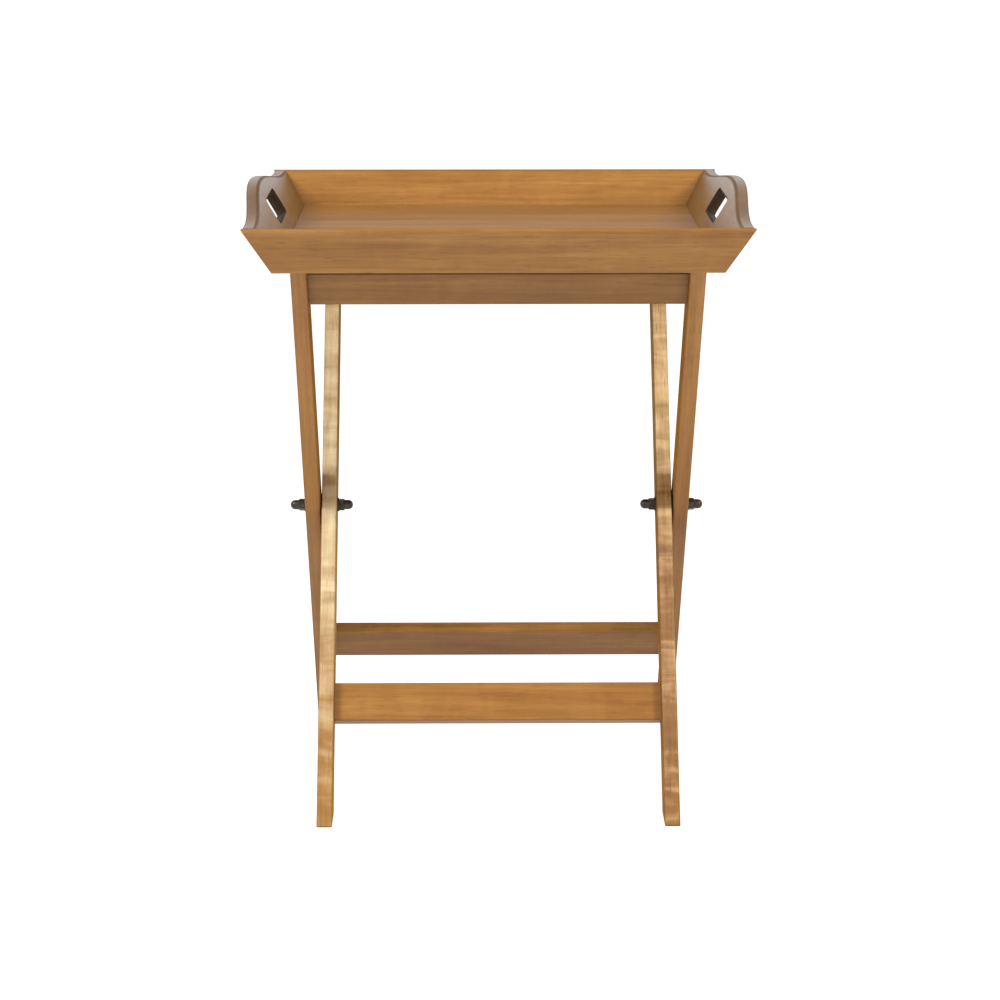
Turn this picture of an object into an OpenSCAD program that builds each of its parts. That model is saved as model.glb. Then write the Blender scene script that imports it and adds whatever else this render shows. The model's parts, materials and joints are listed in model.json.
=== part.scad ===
// Folding tray table: a square wooden tray with flared sides rests on an X-shaped folding stand.
// Millimetres, +Z up. The origin is on the floor under the pivots, the front faces -Y.

/* [Tray] */
// Tip-to-tip width and depth of the tray at the rim
tray_size = 610; // [560:1:700]
// Height of the front and back boards
board_h = 56.5; // [45:0.5:80]
// Thickness of the four boards
board_t = 14; // [12:0.5:16]
// Outward lean of the boards from the vertical, in degrees
flare = 30.6; // [25:0.1:31]
// Rounding of the boards' top edges
rim_r = 3; // [1:0.5:4]
// Height of the hump on each end board above the rim
hump_h = 22.5; // [18:0.5:30]
// Length of the hump
hump_len = 530; // [300:5:540]
// Length of each hand slot
slot_len = 120; // [90:1:130]
// Height of each hand slot, measured up the board
slot_h = 32; // [26:1:34]
// Corner radius of the hand slots
slot_r = 6; // [4:1:12]
// Depth of the slot's centre below the rim
slot_drop = 14.2; // [11:0.2:16]
// Thickness of the bottom panel
panel_t = 8; // [6:1:9]
// Depth that the stand's tops sit inside the tray's underside
nest = 4.5; // [2:0.5:6]

/* [Stand] */
// Height of the leg tops, where the tray rests
stand_h = 709.5; // [600:0.5:760]
// Width of the stand across the outer legs
stand_w = 501; // [400:1:506]
// Height of the pivots
pivot_z = 356; // [320:1:380]
// Lean of the open legs from the vertical, in degrees
leg_tilt = 33.07; // [28:0.01:33.1]
// Width of a leg, seen from the side
leg_w = 45; // [35:1:46]
// Thickness of a leg
leg_t = 19.5; // [15:1:22]
// Width of the rails and stretchers
rail_w = 50; // [40:1:55]
// Thickness of the rails and stretchers
rail_t = 18; // [15:1:20]
// Distance up the legs from the pivot to the top rails
rail_start = 364; // [340:1:364]
// Distance down the legs from the pivot to the stretchers
stretcher_start = 246; // [200:1:300]
// Rounding of the long edges of legs and rails
edge_r = 1.5; // [1:0.5:4]

/* [Pivot hardware] */
// Diameter of the pivot studs
stud_d = 8; // [6:1:10]
// Width of a cap nut across its flats
nut_af = 14; // [13.5:0.5:16]
// Height of a cap nut's hexagon
nut_hex_h = 7.5; // [6:0.5:9]
// Diameter of a cap nut's dome
dome_d = 12.5; // [11:0.5:13]
// Whole height of a cap nut
nut_h = 18.5; // [16:0.5:20]
// Diameter of the washer under each cap nut
washer_d = 18; // [16:1:22]
// Thickness of each washer
washer_t = 2; // [1:0.5:3]
// Diameter of the spacer between the crossing legs
spacer_d = 30; // [20:1:34]
// Gap between the crossing legs
leg_gap = 2; // [2:0.5:6]

/* [Joinery and straps] */
// Diameter of the rail dowels
rail_dowel_d = 8; // [6:1:10]
// Diameter of the tray's corner dowels
corner_dowel_d = 6; // [5:0.5:6]
// Width of the webbing straps
strap_w = 38; // [25:1:50]
// Thickness of the webbing straps
strap_t = 2; // [1.5:0.5:3]
// Distance of each strap from the middle
strap_x = 110; // [60:5:180]
// Diameter of the strap screws
strap_screw_d = 4; // [3:0.5:5]

/* [Hidden] */
$fn = 48;

wood_light = [0.78, 0.56, 0.34];
wood_mid = [0.67, 0.47, 0.29];
bronze = [0.20, 0.19, 0.16];
webbing = [0.35, 0.30, 0.24];

// Tray: heights, and half sizes of the outside at the bottom and at the rim
tray_z = stand_h - nest;
rim_z = tray_z + board_h;
rim_half = tray_size / 2;
base_half = rim_half - board_h * tan(flare);
// Thickness of a leaning board, measured level
board_level_t = board_t / cos(flare);
// The panel's edges sit in grooves, past the boards' inner faces
panel_half = base_half - board_level_t + nest * tan(flare) + 8;
panel_z = stand_h;
rim_steps = 6;
hump_steps = 48;
past = 40;

// Corner dowels: heights above the tray's underside, and their length in each board
corner_dowel_heights = [17, 41];
corner_dowel_in_side = 8;
corner_dowel_in_end = 20;

// Stand: inner faces of the outer legs, outer and inner faces of the inner legs
outer_leg_in = stand_w / 2 - leg_t;
inner_leg_out = outer_leg_in - leg_gap;
inner_leg_in = inner_leg_out - leg_t;
running_gap = 0.1;
running_fit = 0.05;

// Rail dowels: length in the leg, length in the rail, and distance from the rail's middle
dowel_in_leg = 12;
dowel_in_rail = 24;
dowel_spread = 13;

// Cap nuts: depth of the blind bore, and length of stud inside it
nut_bore = 11.2;
stud_grip = 10;
hex_chamfer = 1.2;

// Straps: height of the level run, tab length down the rail, and the screws in each tab
strap_z = 698;
strap_tab = 32;
strap_screw_len = 14;
strap_screw_spread = 11;
screw_head_d = 8;
screw_head_h = 2.2;

// Distance up a leg from the pivot to a height z, on the plane at depth n from the leg's middle
function up_leg(z, n) = (z - pivot_z - n * sin(leg_tilt)) / cos(leg_tilt);
// Half size of the tray's outside at a height z
function outside_at(z) = base_half + (z - tray_z) * tan(flare);
// Height of the end boards' top edge at a distance y from the middle
function hump_top(y) =
    rim_z + (abs(y) < hump_len / 2 ? hump_h * (1 + cos(360 * y / hump_len)) / 2 : 0);

// ---------- shared shapes ----------

// A rectangle with rounded corners, centred
module rounded_rect(w, h, r) {
    square([w - 2 * r, h], center = true);
    square([w, h - 2 * r], center = true);
    for (sx = [-1, 1], sy = [-1, 1])
        translate([sx * (w / 2 - r), sy * (h / 2 - r)])
            circle(r);
}

// Turns the local Z axis to lie along the legs, from the pivot
module along_leg(tilt) {
    translate([0, 0, pivot_z])
        rotate([tilt, 0, 0])
            children();
}

// A cylinder along X from x0 to x1
module x_rod(x0, x1, d) {
    translate([x0, 0, 0])
        rotate([0, 90, 0])
            cylinder(h = x1 - x0, d = d);
}

// Extrudes an outline in Y and Z along X, centred
module along_x(len) {
    rotate([90, 0, 90])
        translate([0, 0, -len / 2])
            linear_extrude(len)
                children();
}

// Extrudes an outline in X and Z along Y, centred
module along_y(len) {
    rotate([90, 0, 0])
        translate([0, 0, -len / 2])
            linear_extrude(len)
                children();
}

// ---------- tray ----------

// Section of a leaning board with a level top and rounded top edges, leaning to +x
module board_section() {
    outer_turn = 90 + flare;
    inner_turn = 90 - flare;
    top_out = [rim_half, rim_z];
    top_in = [rim_half - board_level_t, rim_z];
    outer_back = rim_r * tan(outer_turn / 2);
    inner_back = rim_r * tan(inner_turn / 2);
    polygon(concat(
        [[base_half - board_level_t, tray_z], [base_half, tray_z]],
        [for (i = [0 : rim_steps])
            let (a = -flare + outer_turn * i / rim_steps)
            [top_out[0] - outer_back + rim_r * cos(a), top_out[1] - rim_r + rim_r * sin(a)]],
        [for (i = [0 : rim_steps])
            let (a = 90 + inner_turn * i / rim_steps)
            [top_in[0] + inner_back + rim_r * cos(a), top_in[1] - rim_r + rim_r * sin(a)]]
    ));
}

// The panel's outline, also cut out of the boards as grooves
module panel_plate() {
    translate([-panel_half, -panel_half, panel_z])
        cube([2 * panel_half, 2 * panel_half, panel_t]);
}

// Corner dowels at the +X +Y corner
module corner_dowels_at_corner() {
    for (h = corner_dowel_heights) {
        z = tray_z + h;
        face = outside_at(z) - board_level_t;
        translate([outside_at(z) - board_level_t / 2, face + corner_dowel_in_side, z])
            rotate([90, 0, 0])
                cylinder(h = corner_dowel_in_side + corner_dowel_in_end, d = corner_dowel_d);
    }
}

module corner_dowels() {
    for (sx = [0, 1], sy = [0, 1])
        mirror([sx, 0, 0])
            mirror([0, sy, 0])
                corner_dowels_at_corner();
}

// The board along the +Y side, cut to the tray's flare at both ends
module side_board() {
    difference() {
        intersection() {
            along_x(2 * rim_half + past)
                board_section();
            along_y(2 * rim_half + past)
                polygon([
                    [-base_half, tray_z], [base_half, tray_z],
                    [outside_at(rim_z + past), rim_z + past],
                    [-outside_at(rim_z + past), rim_z + past]
                ]);
        }
        panel_plate();
        corner_dowels();
    }
}

// Outline of an end board, seen along X: it fits between the side boards
module end_outline() {
    half_bottom = base_half - board_level_t;
    half_top = rim_half - board_level_t;
    polygon(concat(
        [[-half_bottom, tray_z], [half_bottom, tray_z], [half_top, rim_z]],
        [for (i = [0 : hump_steps])
            let (y = hump_len / 2 - hump_len * i / hump_steps)
            [y, hump_top(y)]],
        [[-half_top, rim_z]]
    ));
}

// The end board on the +X side
module end_board() {
    top = rim_z + hump_h + past;
    difference() {
        intersection() {
            along_x(2 * outside_at(top))
                end_outline();
            along_y(2 * rim_half)
                polygon([
                    [base_half - board_level_t, tray_z], [base_half, tray_z],
                    [outside_at(top), top], [outside_at(top) - board_level_t, top]
                ]);
        }
        panel_plate();
        corner_dowels();
        translate([outside_at(rim_z - slot_drop) - board_level_t / 2, 0, rim_z - slot_drop])
            rotate([0, flare, 0])
                along_x(2 * past)
                    rounded_rect(slot_len, slot_h, slot_r);
    }
}

module tray_front_board() {
    color(wood_mid)
        mirror([0, 1, 0])
            side_board();
}

module tray_back_board() {
    color(wood_light)
        side_board();
}

module tray_left_end() {
    color(wood_mid)
        mirror([1, 0, 0])
            end_board();
}

module tray_right_end() {
    color(wood_mid)
        end_board();
}

module tray_panel() {
    color(wood_mid)
        panel_plate();
}

module tray_corner_dowels() {
    color(wood_light)
        corner_dowels();
}

// ---------- stand ----------

// Dowels at both ends of a rail: side_x is the legs' inner face, start the rail's lower edge
module rail_dowels(side_x, start) {
    for (side = [0, 1], spread = [-dowel_spread, dowel_spread])
        mirror([side, 0, 0])
            translate([0, 0, start + rail_w / 2 + spread])
                x_rod(side_x - dowel_in_rail, side_x + dowel_in_leg, rail_dowel_d);
}

module frame_dowels(tilt, side_x) {
    along_leg(tilt) {
        rail_dowels(side_x, rail_start);
        rail_dowels(side_x, -stretcher_start - rail_w);
    }
}

// A leg on the +X side: leaning bar with a pivot hole, cut level at the top and at the floor
module leg(tilt, x_in, bore) {
    difference() {
        intersection() {
            along_leg(tilt)
                translate([x_in + leg_t / 2, 0, -stand_h])
                    linear_extrude(2 * stand_h)
                        rounded_rect(leg_t, leg_w, edge_r);
            translate([0, -stand_h, 0])
                cube([stand_w, 2 * stand_h, stand_h]);
        }
        translate([0, 0, pivot_z])
            x_rod(x_in - past, x_in + leg_t + past, bore);
        frame_dowels(tilt, x_in);
    }
}

// A rail between legs whose inner faces are at side_x
module rail(tilt, side_x, start) {
    difference() {
        along_leg(tilt)
            translate([0, 0, start + rail_w / 2])
                along_x(2 * side_x)
                    rounded_rect(rail_t, rail_w, edge_r);
        frame_dowels(tilt, side_x);
        strap_screws(tilt);
    }
}

module outer_left_leg() {
    color(wood_mid)
        mirror([1, 0, 0])
            leg(leg_tilt, outer_leg_in, stud_d);
}

module outer_right_leg() {
    color(wood_mid)
        leg(leg_tilt, outer_leg_in, stud_d);
}

module outer_top_rail() {
    color(wood_mid)
        rail(leg_tilt, outer_leg_in, rail_start);
}

module outer_stretcher() {
    color(wood_mid)
        rail(leg_tilt, outer_leg_in, -stretcher_start - rail_w);
}

module outer_rail_dowels() {
    color(wood_light)
        frame_dowels(leg_tilt, outer_leg_in);
}

module inner_left_leg() {
    color(wood_light)
        mirror([1, 0, 0])
            leg(-leg_tilt, inner_leg_in, stud_d + 2 * running_fit);
}

module inner_right_leg() {
    color(wood_light)
        leg(-leg_tilt, inner_leg_in, stud_d + 2 * running_fit);
}

module inner_top_rail() {
    color(wood_light)
        rail(-leg_tilt, inner_leg_in, rail_start);
}

module inner_stretcher() {
    color(wood_light)
        rail(-leg_tilt, inner_leg_in, -stretcher_start - rail_w);
}

module inner_rail_dowels() {
    color(wood_light)
        frame_dowels(-leg_tilt, inner_leg_in);
}

// ---------- pivot hardware, on the +X side ----------

// Domed cap nut standing on its seat, with a blind bore
module cap_nut() {
    corner_r = nut_af / 2 / cos(30);
    difference() {
        union() {
            intersection() {
                cylinder(h = nut_hex_h, r = corner_r, $fn = 6);
                cylinder(h = nut_hex_h, r1 = corner_r + nut_hex_h - hex_chamfer, r2 = nut_af / 2 - 0.2);
            }
            cylinder(h = nut_h - dome_d / 2, d = dome_d);
            translate([0, 0, nut_h - dome_d / 2])
                sphere(d = dome_d);
        }
        translate([0, 0, -1])
            cylinder(h = nut_bore + 1, d = stud_d);
    }
}

// A washer on the pivot line, from x0 to x1
module pivot_ring(x0, x1, d) {
    translate([0, 0, pivot_z])
        difference() {
            x_rod(x0, x1, d);
            x_rod(x0 - past, x1 + past, stud_d);
        }
}

module pivot_stud() {
    color(bronze)
        translate([0, 0, pivot_z])
            x_rod(inner_seat - stud_grip, outer_seat + stud_grip, stud_d);
}

module outer_nut() {
    color(bronze)
        translate([outer_seat, 0, pivot_z])
            rotate([0, 90, 0])
                cap_nut();
}

module inner_nut() {
    color(bronze)
        translate([inner_seat, 0, pivot_z])
            rotate([0, -90, 0])
                rotate([0, 0, 30])
                    cap_nut();
}

// One washer under each cap nut
module nut_washers() {
    color(bronze) {
        pivot_ring(inner_seat, inner_seat + washer_t, washer_d);
        pivot_ring(stand_w / 2, outer_seat, washer_d);
    }
}

module leg_spacer() {
    color(bronze)
        pivot_ring(inner_leg_out + running_gap, outer_leg_in, spacer_d);
}

// Seats of the cap nuts, on their washers
inner_seat = inner_leg_in - running_gap - washer_t;
outer_seat = stand_w / 2 + washer_t;

module left_pivot_stud() {
    mirror([1, 0, 0])
        pivot_stud();
}

module right_pivot_stud() {
    pivot_stud();
}

module left_outer_nut() {
    mirror([1, 0, 0])
        outer_nut();
}

module left_inner_nut() {
    mirror([1, 0, 0])
        inner_nut();
}

module right_outer_nut() {
    outer_nut();
}

module right_inner_nut() {
    inner_nut();
}

module left_washers() {
    mirror([1, 0, 0])
        nut_washers();
}

module right_washers() {
    nut_washers();
}

module left_spacer() {
    mirror([1, 0, 0])
        leg_spacer();
}

module right_spacer() {
    leg_spacer();
}

// ---------- straps ----------

// Where a strap's top face meets the rail's inner face, up the leg and out from the middle
tab_top = up_leg(strap_z + strap_t, rail_t / 2);
run_half = up_leg(strap_z, rail_t / 2) * sin(leg_tilt) - rail_t / 2 * cos(leg_tilt);
tab_screw_up = tab_top - strap_tab / 2;

// Screws through both straps into one rail; their heads sit on the straps
module strap_screws(tilt) {
    inward = tilt > 0 ? 1 : -1;
    along_leg(tilt)
        for (sx = [-1, 1], spread = [-strap_screw_spread, strap_screw_spread])
            translate([sx * strap_x + spread, inward * (rail_t / 2 + strap_t), tab_screw_up])
                rotate([inward * -90, 0, 0]) {
                    cylinder(h = screw_head_h, d = screw_head_d);
                    translate([0, 0, -strap_screw_len])
                        cylinder(h = strap_screw_len, d = strap_screw_d);
                }
}

// One end of a strap, flat against the outer frame's top rail
module strap_end() {
    along_leg(leg_tilt)
        translate([-strap_w / 2, rail_t / 2, tab_top - strap_tab])
            cube([strap_w, strap_t, strap_tab]);
}

module strap(x) {
    color(webbing)
        difference() {
            translate([x, 0, 0]) {
                translate([-strap_w / 2, -run_half, strap_z])
                    cube([strap_w, 2 * run_half, strap_t]);
                strap_end();
                mirror([0, 1, 0])
                    strap_end();
            }
            strap_screws(leg_tilt);
            strap_screws(-leg_tilt);
        }
}

module left_strap() {
    strap(-strap_x);
}

module right_strap() {
    strap(strap_x);
}

module outer_strap_screws() {
    color(bronze)
        strap_screws(leg_tilt);
}

module inner_strap_screws() {
    color(bronze)
        strap_screws(-leg_tilt);
}

// ---------- the nodes ----------

tray_front_board();
tray_back_board();
tray_left_end();
tray_right_end();
tray_panel();
tray_corner_dowels();
outer_left_leg();
outer_right_leg();
outer_top_rail();
outer_stretcher();
outer_rail_dowels();
inner_left_leg();
inner_right_leg();
inner_top_rail();
inner_stretcher();
inner_rail_dowels();
left_pivot_stud();
right_pivot_stud();
left_outer_nut();
left_inner_nut();
right_outer_nut();
right_inner_nut();
left_washers();
right_washers();
left_spacer();
right_spacer();
left_strap();
right_strap();
outer_strap_screws();
inner_strap_screws();
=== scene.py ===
import json
import math

import bmesh
import bpy
from mathutils import Matrix, Vector
from mathutils.geometry import tessellate_polygon


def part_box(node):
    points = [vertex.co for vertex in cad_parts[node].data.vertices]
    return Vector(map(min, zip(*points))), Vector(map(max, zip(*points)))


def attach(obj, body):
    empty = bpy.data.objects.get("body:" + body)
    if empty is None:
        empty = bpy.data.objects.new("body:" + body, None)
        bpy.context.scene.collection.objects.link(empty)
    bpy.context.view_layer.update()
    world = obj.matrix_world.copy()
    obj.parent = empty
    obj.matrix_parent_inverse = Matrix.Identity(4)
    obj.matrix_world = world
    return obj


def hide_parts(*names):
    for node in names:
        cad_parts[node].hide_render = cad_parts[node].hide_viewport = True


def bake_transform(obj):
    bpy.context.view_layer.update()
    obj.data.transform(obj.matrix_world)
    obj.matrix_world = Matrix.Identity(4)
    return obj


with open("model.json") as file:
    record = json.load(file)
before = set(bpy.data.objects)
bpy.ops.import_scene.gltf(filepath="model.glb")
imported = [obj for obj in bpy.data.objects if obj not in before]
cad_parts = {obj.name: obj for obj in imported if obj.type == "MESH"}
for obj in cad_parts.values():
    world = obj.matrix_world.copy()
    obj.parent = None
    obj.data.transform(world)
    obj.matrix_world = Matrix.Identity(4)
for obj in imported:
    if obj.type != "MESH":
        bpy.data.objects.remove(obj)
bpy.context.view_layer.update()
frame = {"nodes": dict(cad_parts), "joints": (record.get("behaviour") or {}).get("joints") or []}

# ---------- sizes in metres, with the same driving values as the CAD part ----------

LEG_TILT = math.radians(33.07)
FLARE = math.radians(30.6)
BOARD_T = 0.014
HUMP_LEN = 0.530
SLOT_LEN = 0.120
SLOT_H = 0.032
SLOT_R = 0.006
SLOT_DROP = 0.0142
STRAP_T = 0.002

# Roundings of the tray's wood: the end boards' rim, the boards' lower edges, the slanted ends of
# the front and back boards, and the hand slots
RIM_R = 0.003
END_R = 0.001
SLANT_R = 0.002
SLOT_EDGE_R = 0.0025
# The front and back boards' rim at their outer, sharp face and at their inner, blunt face
RIM_OUTER_R = 0.0057
RIM_INNER_R = 0.002
# Roundings of the stand's wood: long edges and the legs' corners
LONG_R = 0.0015
LEG_CORNER_R = 0.0018
# Edges that butt against another piece, and those of the pivot holes
BUTT_R = 0.0004
ROUND_STEPS = 6
# Two faces count as one smooth surface when the angle between them is up to this
WOOD_CREASE = math.radians(40)
STRAP_CREASE = math.radians(50)
# Gap that shows as a fine line where two boards meet
JOINT_GAP = 0.00015
RAIL_END_GAP = JOINT_GAP / 3
HUMP_STEPS = 72
BORE_STEPS = 32
BORE_PLAY = 0.00005
# A leg's faces whose normal is at least this much along its thickness are its wide sides
WIDE_SIDE = 0.9

# Straps: sag in the middle, and the tabs that turn down along the rails
STRAP_SAG = 0.0006
STRAP_BEAD = 0.0008
STRAP_SKIN = 0.0001
STRAP_RUN_STEPS = 60
TAB_STEPS = 8
TAB_LIFT = 0.001
TAB_TURN = 0.003
TURN_REACH = 0.004

# Half the length over which a leg's wood changes in tone: the outer legs' painted shade and the inner
# legs' painted highlights
LEG_REACH = 0.45
# How much of that painted shade and painted highlight the legs' wide sides show, and how uneven it is
# there
SIDE_SHARE = 0.3
SIDE_PATCHY = 0.3
SIDE_FIGURE = 0.3

UP = Vector((0, 0, 1))
PIVOT = Vector(next(j for j in frame["joints"] if j["name"] == "frame_fold")["pos_m"])
OUTER_ALONG = Vector((0, -math.sin(LEG_TILT), math.cos(LEG_TILT)))
INNER_ALONG = Vector((0, math.sin(LEG_TILT), math.cos(LEG_TILT)))

TRAY_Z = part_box("tray_front_board")[0].z
RIM_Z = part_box("tray_front_board")[1].z
RIM_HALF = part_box("tray_front_board")[1].x
HUMP_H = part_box("tray_left_end")[1].z - RIM_Z
BASE_HALF = RIM_HALF - (RIM_Z - TRAY_Z) * math.tan(FLARE)
LEVEL_T = BOARD_T / math.cos(FLARE)


def reach(node, axis):
    """How far a CAD node reaches along an axis from the pivot line: (lowest, highest)."""
    found = [(v.co - PIVOT).dot(axis) for v in frame["nodes"][node].data.vertices]
    return min(found), max(found)


# ---------- mesh helpers ----------

def arc_corner(points, radius):
    """The outline with each corner turned into a short arc."""
    result = []
    for k, point in enumerate(points):
        before = (points[k - 1] - point).normalized()
        after = (points[(k + 1) % len(points)] - point).normalized()
        half = before.angle(after) / 2
        tangent = radius / math.tan(half)
        centre = point + (before + after).normalized() * (radius / math.sin(half))
        start = point + before * tangent - centre
        turn = (point + after * tangent - centre).angle_signed(start)
        for i in range(ROUND_STEPS + 1):
            step = start.copy()
            step.rotate(Matrix.Rotation(turn * i / ROUND_STEPS, 2))
            result.append(centre + step)
    return result


def inset_outline(points, insets):
    """Moves each edge of an anticlockwise outline inwards by its own inset."""
    result = []
    count = len(points)
    for k in range(count):
        before, here, after = points[k - 1], points[k], points[(k + 1) % count]
        first = (here - before).normalized()
        second = (after - here).normalized()
        n1 = Vector((-first.y, first.x))
        n2 = Vector((-second.y, second.x))
        i1, i2 = insets[k - 1], insets[k]
        cross = first.x * second.y - first.y * second.x
        if abs(cross) < 1e-5:
            result.append(here + n2 * i2)
            continue
        along = (i1 * n1.dot(first) + (n2 * i2 - n1 * i1).dot(n2)) / first.dot(n2)
        result.append(here + n1 * i1 + first * along)
    return result


def round_inset(radius, depth):
    """How far a rounded edge lies inside its outline at a depth below the face."""
    if depth >= radius:
        return 0.0
    share = (radius - depth) / radius
    return radius * (1 - math.sqrt(1 - share * share))


def edge_depths(widest, thickness):
    """Depths at which a slab's outline is drawn, each with how much it lies on a rounded edge."""
    turns = [math.pi / 2 * i / ROUND_STEPS for i in range(ROUND_STEPS + 1)]
    near = [(widest * (1 - math.cos(a)), math.sin(2 * a)) for a in turns]
    return near + [(thickness - depth, worn) for depth, worn in reversed(near)]


def join_rings(bm, upper, lower):
    """Walls between two rings of the same count. Returns the new faces."""
    count = len(upper)
    return [
        bm.faces.new((upper[k], upper[(k + 1) % count], lower[(k + 1) % count], lower[k]))
        for k in range(count)
    ]


def close_face(bm, rings):
    """Fills a flat face between an outline and its holes."""
    flat = [vert for ring in rings for vert in ring]
    if len(rings) == 1:
        bm.faces.new(flat)
        return
    for triangle in tessellate_polygon([[vert.co for vert in ring] for ring in rings]):
        bm.faces.new([flat[i] for i in triangle])


def finished_mesh(bm, name):
    bmesh.ops.recalc_face_normals(bm, faces=bm.faces)
    mesh = bpy.data.meshes.new(name)
    bm.to_mesh(mesh)
    bm.free()
    return mesh


def slab(name, outline, edge_radii, thickness, holes=(), hole_radius=0.0):
    """A flat piece with rounded edges: outline(depth) gives its corners, anticlockwise, at each depth.

    The faces lie in X and Y, depth runs along +Z, and X is the grain. An edge's radius is one
    number, or a pair for the near and the far face. Holes are anticlockwise outlines.
    """
    pairs = [r if isinstance(r, tuple) else (r, r) for r in edge_radii]
    widest = max([max(pair) for pair in pairs] + [hole_radius])
    bm = bmesh.new()
    edge_layer = bm.verts.layers.float.new("edge")
    cut_layer = bm.faces.layers.float.new("cut")
    loops = []
    for depth, worn in edge_depths(widest, thickness):
        near = min(depth, thickness - depth)
        side = 0 if depth < thickness / 2 else 1
        rings = [inset_outline(outline(depth), [round_inset(pair[side], near) for pair in pairs])]
        for hole in holes:
            rings.append(inset_outline(hole, [-round_inset(hole_radius, near)] * len(hole)))
        layer = [[bm.verts.new((p.x, p.y, depth)) for p in ring] for ring in rings]
        for vert in (vert for ring in layer for vert in ring):
            vert[edge_layer] = worn
        loops.append(layer)
    for upper, lower in zip(loops, loops[1:]):
        for number, (ring_a, ring_b) in enumerate(zip(upper, lower)):
            for face in join_rings(bm, ring_a, ring_b):
                face[cut_layer] = min(number, 1)
    close_face(bm, loops[0])
    close_face(bm, loops[-1])
    return finished_mesh(bm, name)


def place_matrix(origin, up, depth):
    """The placing of a slab: its Y axis along up, its Z axis along depth."""
    along = up.cross(depth)
    turn = Matrix((along, up, depth)).transposed().to_4x4()
    return Matrix.Translation(origin) @ turn


def keep_grain(mesh):
    """Stores the slab's own coordinates and faces, so that the wood follows it when it is placed."""
    grain = mesh.attributes.new("grain_space", "FLOAT_VECTOR", "POINT")
    for vertex in mesh.vertices:
        grain.data[vertex.index].vector = vertex.co
    ends = mesh.attributes.new("end_face", "FLOAT", "FACE")
    tops = mesh.attributes.new("top_face", "FLOAT", "FACE")
    fibres = mesh.uv_layers.new(name="fibres")
    for polygon in mesh.polygons:
        ends.data[polygon.index].value = abs(polygon.normal.x)
        tops.data[polygon.index].value = max(polygon.normal.y, 0)
        for loop in polygon.loop_indices:
            co = mesh.vertices[mesh.loops[loop].vertex_index].co
            fibres.data[loop].uv = (co.x, co.y + co.z)


def add_piece(name, mesh, placing, body, replaced, material):
    """Puts a finished mesh in the scene in place of a CAD node."""
    keep_grain(mesh)
    mesh.transform(placing)
    for polygon in mesh.polygons:
        polygon.use_smooth = True
    mesh.set_sharp_from_angle(angle=WOOD_CREASE)
    mesh.materials.append(material)
    piece = bpy.data.objects.new(name, mesh)
    bpy.context.scene.collection.objects.link(piece)
    normals = piece.modifiers.new("face_normals", "WEIGHTED_NORMAL")
    normals.keep_sharp = True
    normals.weight = 100
    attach(piece, body)
    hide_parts(replaced)
    return piece


# ---------- materials ----------

def new_material(name):
    material = bpy.data.materials.new(name)
    material.use_nodes = True
    return material, material.node_tree.nodes, material.node_tree.links


def mapped(nodes, links, scale, shift=(0, 0, 0), stored=None):
    """Object coordinates, or coordinates stored on the mesh, stretched and then shifted."""
    stretched = nodes.new("ShaderNodeMapping")
    stretched.inputs["Scale"].default_value = scale
    stretched.inputs["Location"].default_value = shift
    if stored:
        coordinates = nodes.new("ShaderNodeAttribute")
        coordinates.attribute_name = stored
        links.new(coordinates.outputs["Vector"], stretched.inputs["Vector"])
    else:
        coordinates = nodes.new("ShaderNodeTexCoord")
        links.new(coordinates.outputs["Object"], stretched.inputs["Vector"])
    return stretched.outputs["Vector"]


def stored_value(nodes, name):
    """A number stored on the mesh."""
    node = nodes.new("ShaderNodeAttribute")
    node.attribute_name = name
    return node.outputs["Fac"]


def relief(nodes, links, shader, height, strength, distance):
    """Bump from a height, straight into the shader."""
    bump = nodes.new("ShaderNodeBump")
    bump.inputs["Strength"].default_value = strength
    bump.inputs["Distance"].default_value = distance
    links.new(height, bump.inputs["Height"])
    links.new(bump.outputs["Normal"], shader.inputs["Normal"])


def shade(colour, factor):
    return tuple(c * factor for c in colour)


def noise(nodes, links, vector, detail=3.0, roughness=0.55, distortion=0.0):
    texture = nodes.new("ShaderNodeTexNoise")
    texture.inputs["Scale"].default_value = 1.0
    texture.inputs["Detail"].default_value = detail
    texture.inputs["Roughness"].default_value = roughness
    texture.inputs["Distortion"].default_value = distortion
    links.new(vector, texture.inputs["Vector"])
    return texture.outputs["Fac"]


def math_node(nodes, links, operation, first, second=None, third=None):
    node = nodes.new("ShaderNodeMath")
    node.operation = operation
    for socket, value in zip(node.inputs, (first, second, third)):
        if value is None:
            continue
        if isinstance(value, (int, float)):
            socket.default_value = value
        else:
            links.new(value, socket)
    return node.outputs["Value"]


def weighted_sum(nodes, links, start, terms):
    """start plus the sum of weight * (noise - 0.5)."""
    total = start
    for value, weight in terms:
        centred = math_node(nodes, links, "SUBTRACT", value, 0.5)
        total = math_node(nodes, links, "MULTIPLY_ADD", centred, weight, total)
    return total


def map_range(nodes, links, value, low, high, to_low, to_high):
    node = nodes.new("ShaderNodeMapRange")
    node.inputs["From Min"].default_value = low
    node.inputs["From Max"].default_value = high
    node.inputs["To Min"].default_value = to_low
    node.inputs["To Max"].default_value = to_high
    links.new(value, node.inputs["Value"])
    return node.outputs["Result"]


def mix_colour(nodes, links, share, first, second):
    node = nodes.new("ShaderNodeMix")
    node.data_type = "RGBA"
    for socket, value in ((node.inputs[0], share), (node.inputs[6], first), (node.inputs[7], second)):
        if isinstance(value, (int, float)):
            socket.default_value = value
        elif isinstance(value, tuple):
            socket.default_value = (*value, 1)
        else:
            links.new(value, socket)
    return node.outputs[2]


def ramp(nodes, links, value, stops):
    node = nodes.new("ShaderNodeValToRGB")
    elements = node.color_ramp.elements
    while len(elements) < len(stops):
        elements.new(0.5)
    for element, (position, colour) in zip(elements, stops):
        element.position = position
        element.color = (*colour, 1)
    links.new(value, node.inputs["Fac"])
    return node.outputs["Color"]


TONE_STOPS = (0.18, 0.5, 0.82)


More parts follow.
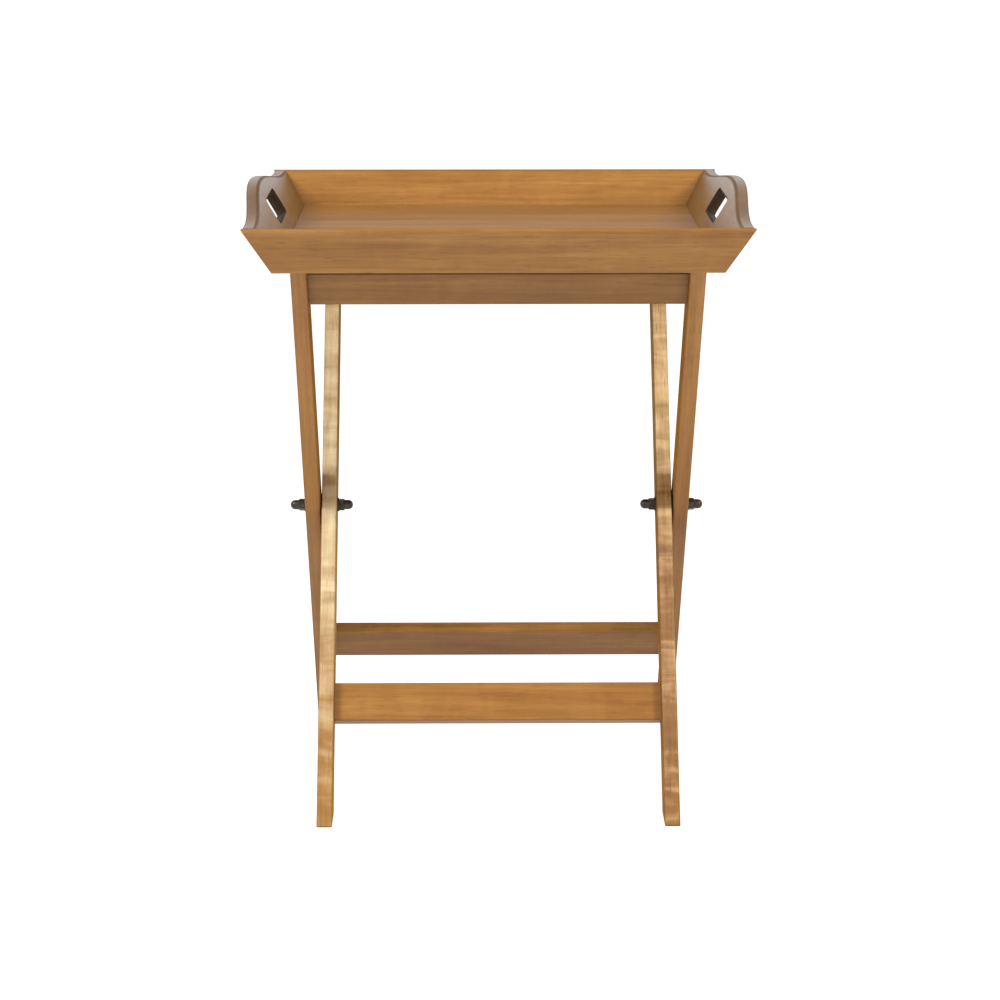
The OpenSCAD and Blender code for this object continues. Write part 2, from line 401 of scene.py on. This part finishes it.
def wood_layers(nodes, links, seed, stored):
    """The noises that make up the wood, each stretched along the grain in X."""
    shift = (seed * 3.7, seed * 5.1, seed * 2.3)

    def layer(scale, *settings):
        return noise(nodes, links, mapped(nodes, links, scale, shift, stored), *settings)

    pores = layer((38, 950, 950), 1, 0.5)
    return {
        "growth": layer((2.2, 34, 34), 3, 0.5, 0.3),
        "streaks": layer((7, 210, 210), 4, 0.6, 0.2),
        "fibres": layer((55, 1500, 1500), 2, 0.6),
        "blotches": layer((14, 26, 26), 3, 0.6, 0.6),
        "curl": layer((42, 9, 9), 3, 0.55, 0.8),
        "pores": map_range(nodes, links, pores, 0.66, 0.74, 0.0, 0.55),
    }


def painted_light_along_grain(nodes, links, layers, tone, colour, stored, second, shares, patchy):
    """The colour with its second tones mixed in by the distance along the grain: painted highlights on
    the inner legs, painted shade towards the outer legs' feet.
    """
    place = nodes.new("ShaderNodeAttribute")
    place.attribute_name = stored
    axes = nodes.new("ShaderNodeSeparateXYZ")
    links.new(place.outputs["Vector"], axes.inputs["Vector"])
    along = map_range(nodes, links, axes.outputs["X"], -LEG_REACH, LEG_REACH, 0, 1)
    stops = [((x + LEG_REACH) / (2 * LEG_REACH), (share,) * 3) for x, share in shares]
    turned = ramp(nodes, links, tone, list(zip(TONE_STOPS, second)))
    broken = weighted_sum(nodes, links, ramp(nodes, links, along, stops), [
        (layers["blotches"], 0.9 * patchy), (layers["curl"], 1.1 * patchy),
    ])
    return mix_colour(nodes, links, broken, colour, turned)


def stained_edges(nodes, links, layers, colour, dark, light):
    """Rounded edges hold more stain, and are worn pale in places."""
    edge = stored_value(nodes, "edge")
    stained = math_node(nodes, links, "MULTIPLY", edge, 0.5)
    colour = mix_colour(nodes, links, stained, colour, shade(dark, 0.7))
    rubbed = math_node(nodes, links, "MULTIPLY", edge, layers["blotches"])
    worn = map_range(nodes, links, rubbed, 0.35, 0.8, 0.0, 0.4)
    return mix_colour(nodes, links, worn, colour, light)


def painted_top_highlight(nodes, links, tone, colour, mid, light, rubbed_top):
    """The face towards +Y painted lighter: a painted highlight where light from above falls on it."""
    highlight_share = math_node(nodes, links, "MULTIPLY", stored_value(nodes, "top_face"), rubbed_top)
    rubbed = ramp(nodes, links, tone, [(TONE_STOPS[0], mid), (TONE_STOPS[2], shade(light, 1.8))])
    return mix_colour(nodes, links, highlight_share, colour, rubbed)


def wood_gloss(nodes, links, shader, layers, gloss, figure, specular):
    """A satin lacquer, rougher on worn edges and inside the cuts."""
    rough = weighted_sum(nodes, links, gloss, [
        (layers["streaks"], 0.16), (layers["blotches"], 0.14),
        (layers["pores"], 0.12), (layers["curl"], 0.3 * figure),
    ])
    rough = math_node(nodes, links, "MULTIPLY_ADD", stored_value(nodes, "cut"), 0.45, rough)
    rough = math_node(nodes, links, "MULTIPLY_ADD", stored_value(nodes, "edge"), 0.3, rough)
    links.new(rough, shader.inputs["Roughness"])
    shader.inputs["Specular IOR Level"].default_value = specular


def fibre_sheen(nodes, links, shader):
    """Highlights that run across the grain, as they do on a planed face."""
    shader.inputs["Anisotropic"].default_value = 0.8
    shader.inputs["Anisotropic Rotation"].default_value = 0.25
    along = nodes.new("ShaderNodeTangent")
    along.direction_type = "UV_MAP"
    along.uv_map = "fibres"
    links.new(along.outputs["Tangent"], shader.inputs["Tangent"])


def wood(name, seed, tones, figure=0.25, mottle=0.5, gloss=0.42, specular=0.3, bump_strength=0.25,
         stored="grain_space", second=None, shares=(), patchy=1.0, rubbed_top=0.0):
    """Stained hardwood with a satin lacquer. X is the grain in the coordinates stored on the mesh.

    second holds the tones that the wood turns to, painted highlights on the inner legs and painted
    shade towards the outer legs' feet, and shares is how far: (distance along the grain, share).
    patchy is how uneven that change is. rubbed_top is how far the face towards +Y is
    painted lighter, as a painted highlight.
    """
    dark, mid, light = tones
    material, nodes, links = new_material(name)
    shader = nodes["Principled BSDF"]
    layers = wood_layers(nodes, links, seed, stored)
    tone = weighted_sum(nodes, links, 0.5, [
        (layers["growth"], 1.0), (layers["streaks"], 0.85), (layers["fibres"], 0.35),
        (layers["blotches"], mottle), (layers["curl"], figure),
    ])
    colour = ramp(nodes, links, tone, list(zip(TONE_STOPS, tones)))
    if second:
        colour = painted_light_along_grain(nodes, links, layers, tone, colour, stored, second, shares, patchy)
    colour = mix_colour(nodes, links, layers["pores"], colour, shade(dark, 0.45))
    colour = stained_edges(nodes, links, layers, colour, dark, light)
    end_grain = map_range(nodes, links, stored_value(nodes, "end_face"), 0.35, 0.7, 0.0, 0.75)
    colour = mix_colour(nodes, links, end_grain, colour, shade(dark, 0.45))
    if rubbed_top:
        colour = painted_top_highlight(nodes, links, tone, colour, mid, light, rubbed_top)
    # The walls of the holes and hand slots are painted nearly black: painted shade inside the cuts
    painted_hole_shade = math_node(nodes, links, "MULTIPLY", stored_value(nodes, "cut"), 0.85)
    colour = mix_colour(nodes, links, painted_hole_shade, colour, shade(dark, 0.25))
    links.new(colour, shader.inputs["Base Color"])

    wood_gloss(nodes, links, shader, layers, gloss, figure, specular)
    if stored:
        fibre_sheen(nodes, links, shader)
    height = weighted_sum(nodes, links, 0.5, [
        (layers["streaks"], 0.6), (layers["fibres"], 0.5), (layers["pores"], -1.2),
    ])
    relief(nodes, links, shader, height, bump_strength, 0.0003)
    return material


def bronze(name):
    """Dark bronzed steel with a worn satin surface."""
    material, nodes, links = new_material(name)
    shader = nodes["Principled BSDF"]
    patches = noise(nodes, links, mapped(nodes, links, (260, 260, 260)), 4, 0.6)
    grit = noise(nodes, links, mapped(nodes, links, (1600, 1600, 1600)), 2, 0.6)
    tone = weighted_sum(nodes, links, 0.5, [(patches, 0.9), (grit, 0.4)])
    colour = ramp(nodes, links, tone, [
        (0.25, (0.020, 0.018, 0.014)), (0.55, (0.060, 0.054, 0.042)), (0.85, (0.16, 0.14, 0.10)),
    ])
    links.new(colour, shader.inputs["Base Color"])
    rough = weighted_sum(nodes, links, 0.42, [(patches, 0.3), (grit, 0.2)])
    links.new(rough, shader.inputs["Roughness"])
    shader.inputs["Metallic"].default_value = 0.85
    relief(nodes, links, shader, grit, 0.3, 0.0002)
    return material


def steel(name):
    """Zinc-plated screws."""
    material, nodes, links = new_material(name)
    shader = nodes["Principled BSDF"]
    grit = noise(nodes, links, mapped(nodes, links, (900, 900, 900)), 3, 0.6)
    colour = ramp(nodes, links, grit, [(0.3, (0.34, 0.33, 0.30)), (0.7, (0.62, 0.61, 0.58))])
    links.new(colour, shader.inputs["Base Color"])
    links.new(map_range(nodes, links, grit, 0.3, 0.7, 0.42, 0.28), shader.inputs["Roughness"])
    shader.inputs["Metallic"].default_value = 0.95
    relief(nodes, links, shader, grit, 0.15, 0.0001)
    return material


def webbing(name):
    """Woven cotton webbing: X runs across the strap and Y along it."""
    material, nodes, links = new_material(name)
    shader = nodes["Principled BSDF"]

    def threads(direction, scale):
        wave = nodes.new("ShaderNodeTexWave")
        wave.bands_direction = direction
        wave.inputs["Scale"].default_value = 1.0
        wave.inputs["Distortion"].default_value = 0.4
        links.new(mapped(nodes, links, (scale, scale, scale)), wave.inputs["Vector"])
        return wave.outputs["Fac"]

    weave = math_node(nodes, links, "MULTIPLY", threads("X", 190), threads("Y", 150))
    fuzz = noise(nodes, links, mapped(nodes, links, (700, 700, 700)), 3, 0.6)
    tone = weighted_sum(nodes, links, weave, [(fuzz, 0.5)])
    colour = ramp(nodes, links, tone, [(0.0, (0.035, 0.026, 0.018)), (0.7, (0.15, 0.115, 0.075))])
    links.new(colour, shader.inputs["Base Color"])
    links.new(map_range(nodes, links, fuzz, 0.3, 0.7, 0.78, 0.95), shader.inputs["Roughness"])
    shader.inputs["Sheen Weight"].default_value = 0.4
    shader.inputs["Sheen Roughness"].default_value = 0.5
    relief(nodes, links, shader, tone, 0.6, 0.0006)
    return material


# Stained wood tones: dark, mid and light. Along the grain the outer legs turn to SHADED_FOOT_TONES,
# a painted shade towards their feet, and the inner legs to LEFT_HIGHLIGHT_TONES and
# RIGHT_HIGHLIGHT_TONES, painted highlights.
HONEY = ((0.190, 0.076, 0.014), (0.255, 0.111, 0.023), (0.322, 0.154, 0.038))
TAWNY = ((0.209, 0.084, 0.015), (0.281, 0.122, 0.025), (0.354, 0.169, 0.042))
# Darker tones that paint the shade towards the outer legs' feet
SHADED_FOOT_TONES = ((0.138, 0.055, 0.010), (0.186, 0.081, 0.017), (0.235, 0.113, 0.028))
# UMBER is the tray's honey wood darkened: painted shade on the end boards
UMBER = ((0.086, 0.036, 0.009), (0.118, 0.055, 0.014), (0.150, 0.077, 0.024))
# BROWN is the honey wood darkened: painted shade on the outer rails, whose faces turn downwards
BROWN = ((0.143, 0.057, 0.011), (0.193, 0.084, 0.018), (0.244, 0.116, 0.029))
AMBER = ((0.200, 0.086, 0.014), (0.262, 0.124, 0.024), (0.340, 0.180, 0.045))
RUSSET = ((0.155, 0.063, 0.011), (0.208, 0.090, 0.017), (0.270, 0.128, 0.030))
# Pale tones that paint the inner legs' highlights
LEFT_HIGHLIGHT_TONES = ((0.360, 0.245, 0.105), (0.466, 0.345, 0.178), (0.570, 0.445, 0.260))
RIGHT_HIGHLIGHT_TONES = ((0.520, 0.325, 0.130), (0.660, 0.435, 0.200), (0.760, 0.540, 0.275))


# ---------- tray ----------

def outside_at(z):
    """Half size of the tray's outside at a height."""
    return BASE_HALF + (z - TRAY_Z) * math.tan(FLARE)


def up_at(z, depth):
    """Distance up a leaning board of a point at a height and a depth below its outer face."""
    return (z - TRAY_Z) / math.cos(FLARE) - depth * math.tan(FLARE)


def board_place(lean):
    """Placing of a leaning board whose outside leans towards a level direction."""
    up = lean * math.sin(FLARE) + UP * math.cos(FLARE)
    depth = UP * math.sin(FLARE) - lean * math.cos(FLARE)
    return place_matrix(lean * BASE_HALF + UP * TRAY_Z, up, depth)


def side_outline(depth):
    """A front or back board: cut level above and below, and flush with the end boards' outsides."""
    low = [Vector((sign * outside_at(TRAY_Z), up_at(TRAY_Z, depth))) for sign in (-1, 1)]
    high = [Vector((sign * outside_at(RIM_Z), up_at(RIM_Z, depth))) for sign in (1, -1)]
    return low + high


def side_board(name, lean, seed):
    radii = [END_R, SLANT_R, (RIM_OUTER_R, RIM_INNER_R), SLANT_R]
    mesh = slab(name, side_outline, radii, BOARD_T)
    material = wood(name, seed, HONEY, figure=0.18, mottle=0.5)
    add_piece(name + "_wood", mesh, board_place(lean), "tray", name, material)


def hump_top(y):
    if abs(y) >= HUMP_LEN / 2:
        return RIM_Z
    return RIM_Z + HUMP_H * (1 + math.cos(2 * math.pi * y / HUMP_LEN)) / 2


def end_outline(depth):
    """An end board: it fits between the front and back boards and rises to a hump."""
    def corner(y, z):
        return Vector((y, up_at(z, depth)))

    low = outside_at(TRAY_Z) - LEVEL_T - JOINT_GAP
    high = outside_at(RIM_Z) - LEVEL_T - JOINT_GAP
    crest = [HUMP_LEN * (0.5 - i / HUMP_STEPS) for i in range(HUMP_STEPS + 1)]
    return (
        [corner(-low, TRAY_Z), corner(low, TRAY_Z), corner(high, RIM_Z)]
        + [corner(y, hump_top(y)) for y in crest]
        + [corner(-high, RIM_Z)]
    )


def slot_outline():
    """The hand slot, as an anticlockwise outline on the board."""
    centre = up_at(RIM_Z - SLOT_DROP, BOARD_T / 2)
    half_l, half_h = SLOT_LEN / 2, SLOT_H / 2
    corners = [
        Vector((-half_l, centre - half_h)), Vector((half_l, centre - half_h)),
        Vector((half_l, centre + half_h)), Vector((-half_l, centre + half_h)),
    ]
    return arc_corner(corners, SLOT_R)


def end_board(name, lean, seed):
    edges = len(end_outline(0.0))
    radii = [END_R, BUTT_R] + [RIM_R] * (edges - 3) + [BUTT_R]
    mesh = slab(name, end_outline, radii, BOARD_T, holes=[slot_outline()], hole_radius=SLOT_EDGE_R)
    # Darker wood: painted shade on the end boards
    material = wood(name, seed, UMBER, figure=0.18, mottle=0.5)
    add_piece(name + "_wood", mesh, board_place(lean), "tray", name, material)


def tray_panel():
    """The bottom panel, with its edges fitted to the leaning boards."""
    low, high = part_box("tray_panel")
    thickness = high.z - low.z

    def outline(depth):
        half = outside_at(high.z - depth) - LEVEL_T - JOINT_GAP
        return [Vector((x * half, y * half)) for x, y in ((-1, -1), (1, -1), (1, 1), (-1, 1))]

    mesh = slab("tray_panel", outline, [BUTT_R] * 4, thickness)
    material = wood("tray_panel", 5, HONEY, figure=0.15, mottle=0.35, gloss=0.38, bump_strength=0.12)
    placing = place_matrix(Vector((0, 0, high.z)), Vector((0, -1, 0)), -UP)
    add_piece("tray_panel_wood", mesh, placing, "tray", "tray_panel", material)


side_board("tray_front_board", Vector((0, -1, 0)), 1)
side_board("tray_back_board", Vector((0, 1, 0)), 2)
end_board("tray_left_end", Vector((-1, 0, 0)), 3)
end_board("tray_right_end", Vector((1, 0, 0)), 4)
tray_panel()


# ---------- stand ----------

def pivot_hole():
    """The outline of a leg's hole for its pivot stud, which is at the slab's origin."""
    low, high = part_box("left_pivot_stud")
    bore = (high.z - low.z) / 2 + BORE_PLAY
    turns = [2 * math.pi * i / BORE_STEPS for i in range(BORE_STEPS)]
    return [Vector((bore * math.cos(a), bore * math.sin(a))) for a in turns]


def matt_sides(name, mesh, sides, seed, tones, looks):
    """Gives a leg's wide sides the same wood with less of the painted shade and highlights, and no
    gloss.
    """
    softer = [(x, share * SIDE_SHARE) for x, share in looks["shares"]]
    looks = {**looks, "shares": softer, "specular": 0.0, "patchy": SIDE_PATCHY, "figure": SIDE_FIGURE}
    mesh.materials.append(wood(name + "_sides", seed, tones, **looks))
    for index in sides:
        mesh.polygons[index].material_index = 1


def leg(name, along, body, slot, seed, tones, **looks):
    """A flat leg, cut level at the floor and at the top, with its pivot hole."""
    depth = Vector((1, 0, 0))
    across = depth.cross(along)
    x_low, x_high = reach(name, depth)
    half = reach(name, across)[1]
    stand_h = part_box(name)[1].z

    def corner(z, width):
        return Vector(((z - PIVOT.z - across.z * width) / along.z, width))

    corners = [corner(0, -half), corner(stand_h, -half), corner(stand_h, half), corner(0, half)]
    outline = arc_corner(corners, LEG_CORNER_R)
    radii = [LONG_R] * len(outline)
    thickness = x_high - x_low
    mesh = slab(name, lambda d: outline, radii, thickness, holes=[pivot_hole()], hole_radius=BUTT_R)
    sides = [polygon.index for polygon in mesh.polygons if abs(polygon.normal.z) > WIDE_SIDE]
    material = wood(name, seed, tones, **looks)
    placing = place_matrix(PIVOT + depth * x_low, across, depth)
    add_piece(name + "_wood", mesh, placing, body, name, material)
    matt_sides(name, mesh, sides, seed, tones, looks)


def rail(name, along, body, seed, tones, **looks):
    """A rail or stretcher between two legs, with the grain along X."""
    across = Vector((1, 0, 0)).cross(along)
    x_low, x_high = reach(name, Vector((1, 0, 0)))
    low, high = reach(name, along)
    near, far = reach(name, across)
    half_x = (x_high - x_low) / 2 - RAIL_END_GAP
    half_w = (high - low) / 2
    corners = [
        Vector((-half_x, -half_w)), Vector((half_x, -half_w)),
        Vector((half_x, half_w)), Vector((-half_x, half_w)),
    ]
    mesh = slab(name, lambda d: corners, [LONG_R, BUTT_R, LONG_R, BUTT_R], far - near)
    material = wood(name, seed, tones, **looks)
    placing = place_matrix(PIVOT + along * (low + high) / 2 + across * near, along, across)
    add_piece(name + "_wood", mesh, placing, body, name, material)


# How far each leg's wood turns to its second tones, painted shade on the outer legs and painted
# highlights on the inner legs: (metres up the leg from the pivot, share)
OUTER_LOOKS = {"figure": 0.3, "second": SHADED_FOOT_TONES, "shares": [(-0.40, 1.0), (0.25, 0.0)]}
INNER_LOOKS = {"figure": 0.9, "gloss": 0.40, "specular": 0.3}
# Painted highlights along the inner legs: how far each one turns pale
LEFT_HIGHLIGHT_SHARES = [(-0.37, 0.0), (-0.24, 0.28), (-0.12, 0.76), (0.0, 1.0), (0.30, 0.62)]
RIGHT_HIGHLIGHT_SHARES = [(-0.38, 0.0), (-0.15, 0.12), (-0.02, 0.32), (0.14, 1.0), (0.32, 0.36)]
leg("outer_left_leg", OUTER_ALONG, "outer_frame", "outer_legs", 6, TAWNY, **OUTER_LOOKS)
leg("outer_right_leg", OUTER_ALONG, "outer_frame", "outer_legs", 7, TAWNY, **OUTER_LOOKS)
leg("inner_left_leg", INNER_ALONG, "inner_frame", "inner_legs", 8, AMBER,
    second=LEFT_HIGHLIGHT_TONES, shares=LEFT_HIGHLIGHT_SHARES, **INNER_LOOKS)
leg("inner_right_leg", INNER_ALONG, "inner_frame", "inner_legs", 9, RUSSET,
    second=RIGHT_HIGHLIGHT_TONES, shares=RIGHT_HIGHLIGHT_SHARES, **INNER_LOOKS)
# Darker wood on the outer rails: painted shade
rail("outer_top_rail", OUTER_ALONG, "outer_frame", 10, BROWN)
# The outer stretcher's top face gets a painted highlight
rail("outer_stretcher", OUTER_ALONG, "outer_frame", 11, BROWN, rubbed_top=0.9)
rail("inner_top_rail", INNER_ALONG, "inner_frame", 12, HONEY)
rail("inner_stretcher", INNER_ALONG, "inner_frame", 13, HONEY)


# ---------- straps ----------

def strap_path(low, high):
    """The middle line of a strap: up the outer rail's inner face, across, and down the other one.

    Also returns how far the level run reaches from the middle, and the run's height.
    """
    inward = Vector((0, math.cos(LEG_TILT), math.sin(LEG_TILT)))
    face = reach("outer_top_rail", inward)[1]
    run_z = high.z - STRAP_T / 2

    def rail_point(up_the_leg):
        return PIVOT + OUTER_ALONG * up_the_leg + inward * (face + STRAP_T / 2)

    turn_up = (run_z - PIVOT.z - inward.z * (face + STRAP_T / 2)) / OUTER_ALONG.z
    tab_low = (low.z - PIVOT.z - inward.z * face) / OUTER_ALONG.z + TAB_LIFT
    tab_rise = turn_up - TAB_TURN - tab_low
    path = [rail_point(tab_low + tab_rise * i / (TAB_STEPS - 1)) for i in range(TAB_STEPS)]
    start = Vector((0, rail_point(turn_up).y + TURN_REACH, run_z))
    for i in range(STRAP_RUN_STEPS // 2 + 1):
        y = start.y * (1 - 2 * i / STRAP_RUN_STEPS)
        path.append(Vector((0, y, run_z - STRAP_SAG * (1 - (y / start.y) ** 2))))
    path += [Vector((0, -p.y, p.z)) for p in reversed(path[:-1])]
    return path, abs(start.y), run_z


def strap_mesh(name, path, middle_x, half_w):
    """A flat band with beaded edges along a path."""
    half_t = STRAP_T / 2 - STRAP_SKIN
    flat_w = half_w - STRAP_BEAD
    profile = [(-half_w, 0), (-flat_w, half_t), (flat_w, half_t),
               (half_w, 0), (flat_w, -half_t), (-flat_w, -half_t)]
    bm = bmesh.new()
    rings = []
    for k, point in enumerate(path):
        tangent = (path[min(k + 1, len(path) - 1)] - path[max(k - 1, 0)]).normalized()
        normal = Vector((1, 0, 0)).cross(tangent)
        rings.append([bm.verts.new((middle_x + x, point.y + normal.y * n, point.z + normal.z * n))
                      for x, n in profile])
    for ring_a, ring_b in zip(rings, rings[1:]):
        join_rings(bm, ring_a, ring_b)
    close_face(bm, [rings[0]])
    close_face(bm, [rings[-1]])
    return finished_mesh(bm, name)


def strap(name):
    """A webbing strap between the top rails, with its ends turned down along the rails."""
    low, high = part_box(name)
    path, reach_y, run_z = strap_path(low, high)
    mesh = strap_mesh(name, path, (low.x + high.x) / 2, (high.x - low.x) / 2)
    for polygon in mesh.polygons:
        polygon.use_smooth = True
    mesh.set_sharp_from_angle(angle=STRAP_CREASE)
    mesh.materials.append(WEBBING)
    piece = bpy.data.objects.new(name + "_webbing", mesh)
    bpy.context.scene.collection.objects.link(piece)
    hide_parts(name)
    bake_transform(piece)


WEBBING = webbing("webbing")
strap("left_strap")
strap("right_strap")


# ---------- the CAD nodes that stay ----------

def dress(names, material):
    for name in names:
        mesh = frame["nodes"][name].data
        mesh.materials.clear()
        mesh.materials.append(material)


PIVOT_PIECES = [side + part for side in ("left_", "right_")
                for part in ("pivot_stud", "outer_nut", "inner_nut", "washers", "spacer")]
dress(PIVOT_PIECES, bronze("bronze"))
dress(["outer_strap_screws", "inner_strap_screws"], steel("screw_steel"))
DOWELS = ["tray_corner_dowels", "outer_rail_dowels", "inner_rail_dowels"]
dress(DOWELS, wood("dowels", 16, HONEY, stored=None))


# ---------- stage, light and camera ----------

FLOOR_SIDE = 60.0
LIGHT_TARGET = Vector((0, 0, 0.45))
# Each softbox: direction from the target, distance, size and watts
SOFTBOXES = {
    "left_key": ((-0.608, -0.451, 0.657), 3.1, (1.0, 1.0), 90),
    "right_key": ((0.640, -0.430, 0.637), 3.1, (0.8, 0.8), 68),
    "front_key": ((0, -0.78, 0.62), 3.6, (2.4, 1.0), 8),
}
# The surroundings' brightness at the horizon and overhead, and the heights between which it changes
HORIZON_GLOW = 1.05
OVERHEAD_GLOW = 0.55
GLOW_FROM = 0.10
GLOW_TO = 0.35


def floor():
    """A plain white floor, lit a little from itself so that it stays pale to its far edge."""
    mesh = bpy.data.meshes.new("floor")
    half = FLOOR_SIDE / 2
    mesh.from_pydata([(-half, -half, 0), (half, -half, 0), (half, half, 0), (-half, half, 0)],
                     [], [(0, 1, 2, 3)])
    material, nodes, _ = new_material("floor")
    shader = nodes["Principled BSDF"]
    shader.inputs["Base Color"].default_value = (0.32, 0.32, 0.32, 1)
    shader.inputs["Roughness"].default_value = 0.9
    shader.inputs["Specular IOR Level"].default_value = 0.1
    shader.inputs["Emission Color"].default_value = (1, 1, 1, 1)
    shader.inputs["Emission Strength"].default_value = 0.86
    mesh.materials.append(material)
    piece = bpy.data.objects.new("floor", mesh)
    bpy.context.scene.collection.objects.link(piece)


def softbox(name, direction, distance, size, power):
    light = bpy.data.lights.new(name, "AREA")
    light.shape = "RECTANGLE"
    light.size = size[0]
    light.size_y = size[1]
    light.energy = power
    lamp = bpy.data.objects.new(name, light)
    bpy.context.scene.collection.objects.link(lamp)
    towards = Vector(direction).normalized()
    lamp.location = LIGHT_TARGET + towards * distance
    lamp.rotation_euler = (-towards).to_track_quat("-Z", "Y").to_euler()


def studio():
    """Soft white surroundings, brighter near the horizon, and three softboxes."""
    world = bpy.data.worlds.new("studio")
    world.use_nodes = True
    nodes = world.node_tree.nodes
    links = world.node_tree.links
    background = nodes["Background"]
    background.inputs["Color"].default_value = (1, 1, 1, 1)
    direction = nodes.new("ShaderNodeTexCoord")
    axes = nodes.new("ShaderNodeSeparateXYZ")
    links.new(direction.outputs["Generated"], axes.inputs["Vector"])
    glow = map_range(nodes, links, axes.outputs["Z"], GLOW_FROM, GLOW_TO, HORIZON_GLOW, OVERHEAD_GLOW)
    links.new(glow, background.inputs["Strength"])
    bpy.context.scene.world = world
    for name, settings in SOFTBOXES.items():
        softbox(name, *settings)


def camera():
    """Looks at the front from a little above, as far back as a long lens needs."""
    lens = 101.93
    position = Vector((-0.0315, -3.6246, 1.2276))
    pitch = 0.2345
    yaw = 0.0099
    data = bpy.data.cameras.new("camera")
    data.sensor_width = 36
    data.lens = lens
    data.clip_end = 100
    piece = bpy.data.objects.new("camera", data)
    bpy.context.scene.collection.objects.link(piece)
    piece.location = position
    piece.rotation_euler = (math.pi / 2 - pitch, 0, -yaw)
    bpy.context.scene.camera = piece


floor()
studio()
camera()
bpy.context.scene.view_settings.view_transform = "Standard"
